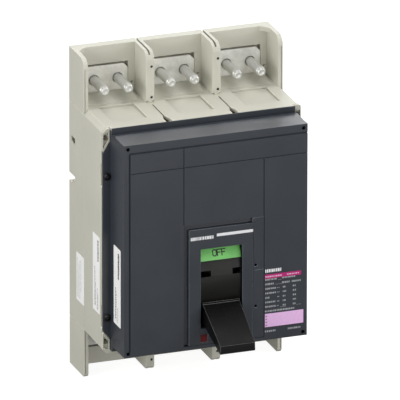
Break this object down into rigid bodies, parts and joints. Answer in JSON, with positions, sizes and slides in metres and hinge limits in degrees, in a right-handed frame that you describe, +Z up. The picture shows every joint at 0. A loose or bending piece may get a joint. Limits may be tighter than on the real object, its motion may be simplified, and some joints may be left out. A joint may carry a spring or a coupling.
{
  "type": "molded case breaker",
  "caption": "Moulded-case power breaker with open terminal bays, stud terminals, arc chute lids, a dark front cover and a large front toggle that drives the contact shaft",
  "frame": {"origin": "centre of the flat rear face, on the mount back_plate", "axes": "+X to the right of someone facing the front, +Y into the mounting plate, +Z up"},
  "size_m": [0.21, 0.1878, 0.338],
  "materials": {
    "case_beige": "warm grey moulded polyester, fine satin",
    "cover_dark": "slate grey moulded plastic, fine grain",
    "black_plastic": "black moulded plastic",
    "shutter_plastic": "very dark grey moulded plastic",
    "chute_resin": "brown moulded resin",
    "black_steel": "blackened steel",
    "bright_steel": "zinc-plated steel",
    "plated_copper": "silver-plated copper, slightly mottled",
    "bare_copper": "bare copper",
    "green_plate": "green moulded plate",
    "white_plate": "white moulded plate",
    "red_button": "dark red moulded button"
  },
  "bodies": {
    "case": {"arc_chute_1": "chute_resin", "arc_chute_2": "chute_resin", "arc_chute_3": "chute_resin", "arc_chute_cap_1": "case_beige", "arc_chute_cap_2": "case_beige", "arc_chute_cap_3": "case_beige", "cover_screw_1": "black_steel", "cover_screw_2": "black_steel", "cover_screw_3": "black_steel", "cover_screw_4": "black_steel", "current_sensor_1": "black_plastic", "current_sensor_2": "black_plastic", "current_sensor_3": "black_plastic", "flange_screw_1": "black_steel", "flange_screw_2": "black_steel", "flange_screw_3": "black_steel", "flange_screw_4": "black_steel", "flexible_braid_1": "bare_copper", "flexible_braid_2": "bare_copper", "flexible_braid_3": "bare_copper", "front_case": "case_beige", "front_cover": "cover_dark", "line_stud_1_left": "bright_steel", "line_stud_1_right": "bright_steel", "line_stud_2_left": "bright_steel", "line_stud_2_right": "bright_steel", "line_stud_3_left": "bright_steel", "line_stud_3_right": "bright_steel", "line_terminal_1": "plated_copper", "line_terminal_2": "plated_copper", "line_terminal_3": "plated_copper", "load_stud_1_left": "bright_steel", "load_stud_1_right": "bright_steel", "load_stud_2_left": "bright_steel", "load_stud_2_right": "bright_steel", "load_stud_3_left": "bright_steel", "load_stud_3_right": "bright_steel", "load_terminal_1": "plated_copper", "load_terminal_2": "plated_copper", "load_terminal_3": "plated_copper", "mechanism_plate_left": "bright_steel", "mechanism_plate_right": "bright_steel", "rear_case": "case_beige", "toggle_bezel": "cover_dark", "toggle_pin": "bright_steel"},
    "toggle": {"toggle_apron": "shutter_plastic", "off_plate": "green_plate", "on_plate": "white_plate", "toggle_lever": "black_plastic"},
    "shutter": {"inner_shutter": "shutter_plastic"},
    "contact_shaft": {"pole_shaft": "bright_steel", "moving_contact_1": "bare_copper", "moving_contact_2": "bare_copper", "moving_contact_3": "bare_copper"},
    "rod": {"connecting_rod": "bright_steel"},
    "button": {"trip_button": "red_button", "trip_button_spring": "bright_steel"},
    "trip_lever": {"trip_bar": "black_plastic"}
  },
  "joints": [
    {"name": "toggle_swing", "type": "hinge", "parent": "case", "child": "toggle", "pos_m": [0.0062, -0.052, -0.05], "axis": [-1, 0, 0], "range_deg": [0, 36]},
    {"name": "shutter_swing", "type": "hinge", "parent": "case", "child": "shutter", "pos_m": [0.0062, -0.052, -0.05], "axis": [-1, 0, 0], "range_deg": [0, 18]},
    {"name": "shaft_turn", "type": "hinge", "parent": "case", "child": "contact_shaft", "pos_m": [0, -0.046, 0.006], "axis": [-1, 0, 0], "range_deg": [0, 30]},
    {"name": "rod_turn", "type": "hinge", "parent": "contact_shaft", "child": "rod", "pos_m": [0.0177, -0.06918, -0.00021], "axis": [-1, 0, 0], "range_deg": [-30, 0]},
    {"name": "button_press", "type": "slide", "parent": "case", "child": "button", "axis": [0, 1, 0], "range_m": [0, 0.003], "stiffness_N_per_m": 150, "springref_m": -0.003},
    {"name": "trip_lever_turn", "type": "hinge", "parent": "case", "child": "trip_lever", "pos_m": [-0.04, -0.121, -0.091], "axis": [1, 0, 0], "range_deg": [0, 22]}
  ],
  "couplings": [
    {"joint": "shutter_swing", "follows": "toggle_swing", "ratio": 0.5},
    {"joint": "shaft_turn", "follows": "toggle_swing", "ratio": 0.8333},
    {"joint": "rod_turn", "follows": "toggle_swing", "ratio": -0.8333},
    {"joint": "trip_lever_turn", "follows": "button_press", "rad_per_m": 84}
  ]
}
